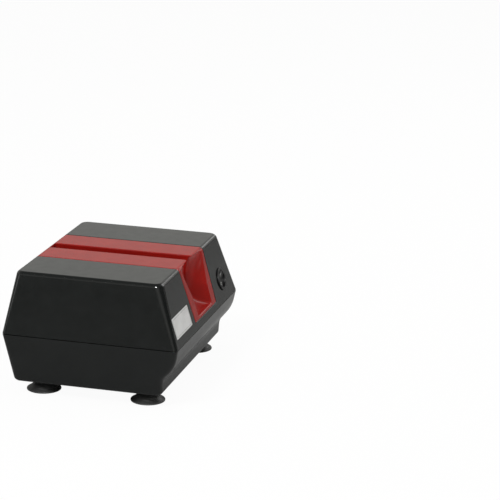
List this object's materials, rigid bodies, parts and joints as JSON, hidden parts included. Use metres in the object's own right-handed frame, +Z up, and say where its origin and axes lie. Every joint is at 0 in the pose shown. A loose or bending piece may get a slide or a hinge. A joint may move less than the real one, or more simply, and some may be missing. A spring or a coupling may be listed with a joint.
{
  "type": "electric knife sharpener",
  "caption": "Electric knife sharpener: sloped black shells on suction feet, a red blade guide with a flared mouth, interlocking grinding wheels, gears, motor and rocker switch.",
  "frame": {"origin": "on the worktop under the middle of the housing", "axes": "+Z up, -Y towards the user and the mouth of the blade guide, +X to the user's right, where the power switch is"},
  "size_m": [0.205, 0.1676, 0.1152],
  "materials": {
    "housing_black": "glossy moulded ABS",
    "guide_red": "glossy moulded ABS",
    "foot_rubber": "soft black rubber",
    "switch_black": "satin nylon",
    "steel": "zinc-plated",
    "abrasive": "vitrified grit",
    "bronze": "sintered",
    "white_nylon": "moulded nylon",
    "lamination": "varnished steel sheets",
    "copper_winding": "enamelled wire under tape",
    "bobbin_plastic": "glass-filled nylon"
  },
  "bodies": {
    "housing": {"base_housing": "housing_black", "blade_guide": "guide_red", "coil_bobbin": "bobbin_plastic", "front_bearing_plate": "steel", "front_bush_left": "bronze", "front_bush_right": "bronze", "guide_screw_back_left": "steel", "guide_screw_back_right": "steel", "guide_screw_front_left": "steel", "guide_screw_front_right": "steel", "inlet_grommet": "foot_rubber", "motor_bracket_front": "steel", "motor_bracket_rear": "steel", "motor_bush_front": "bronze", "motor_bush_rear": "bronze", "motor_coil": "copper_winding", "motor_nut_lower": "steel", "motor_nut_upper": "steel", "motor_screw_lower": "steel", "motor_screw_upper": "steel", "motor_spacer_lower": "steel", "motor_spacer_upper": "steel", "plate_screw_front_left": "steel", "plate_screw_front_right": "steel", "plate_screw_rear_left": "steel", "plate_screw_rear_right": "steel", "rear_bearing_plate": "steel", "rear_bush_left": "bronze", "rear_bush_right": "bronze", "shell_screw_back_left": "steel", "shell_screw_back_right": "steel", "shell_screw_front_left": "steel", "shell_screw_front_right": "steel", "stator_stack": "lamination", "suction_foot_back_left": "foot_rubber", "suction_foot_back_right": "foot_rubber", "suction_foot_front_left": "foot_rubber", "suction_foot_front_right": "foot_rubber", "switch_housing": "switch_black", "switch_terminal_left": "bronze", "switch_terminal_right": "bronze", "terminal_block": "white_nylon", "top_housing": "housing_black"},
    "wheel_set_right": {"front_clip_right": "steel", "grinding_wheel_right": "abrasive", "rear_clip_right": "steel", "wheel_gear_right": "white_nylon", "wheel_shaft_right": "steel"},
    "wheel_set_left": {"front_clip_left": "steel", "grinding_wheel_left": "abrasive", "rear_clip_left": "steel", "wheel_gear_left": "white_nylon", "wheel_shaft_left": "steel"},
    "motor_rotor": {"cooling_fan": "white_nylon", "motor_pinion": "bronze", "motor_shaft": "steel", "rotor_core": "steel"},
    "power_rocker": {"switch_rocker": "switch_black"}
  },
  "joints": [
    {"name": "right_wheel_spin", "type": "hinge", "parent": "housing", "child": "wheel_set_right", "pos_m": [0.021, 0, 0.0805], "axis": [0, 1, 0], "continuous": true},
    {"name": "left_wheel_spin", "type": "hinge", "parent": "housing", "child": "wheel_set_left", "pos_m": [-0.021, 0, 0.0805], "axis": [0, 1, 0], "continuous": true},
    {"name": "motor_spin", "type": "hinge", "parent": "housing", "child": "motor_rotor", "pos_m": [0.04009, 0, 0.06141], "axis": [0, 1, 0], "continuous": true},
    {"name": "rocker_tilt", "type": "hinge", "parent": "housing", "child": "power_rocker", "pos_m": [0.066, -0.0766, 0.0767], "axis": [-1, 0, 0], "range_deg": [0, 20]}
  ],
  "couplings": [
    {"joint": "left_wheel_spin", "follows": "right_wheel_spin", "ratio": -1},
    {"joint": "motor_spin", "follows": "right_wheel_spin", "ratio": -3.5}
  ]
}
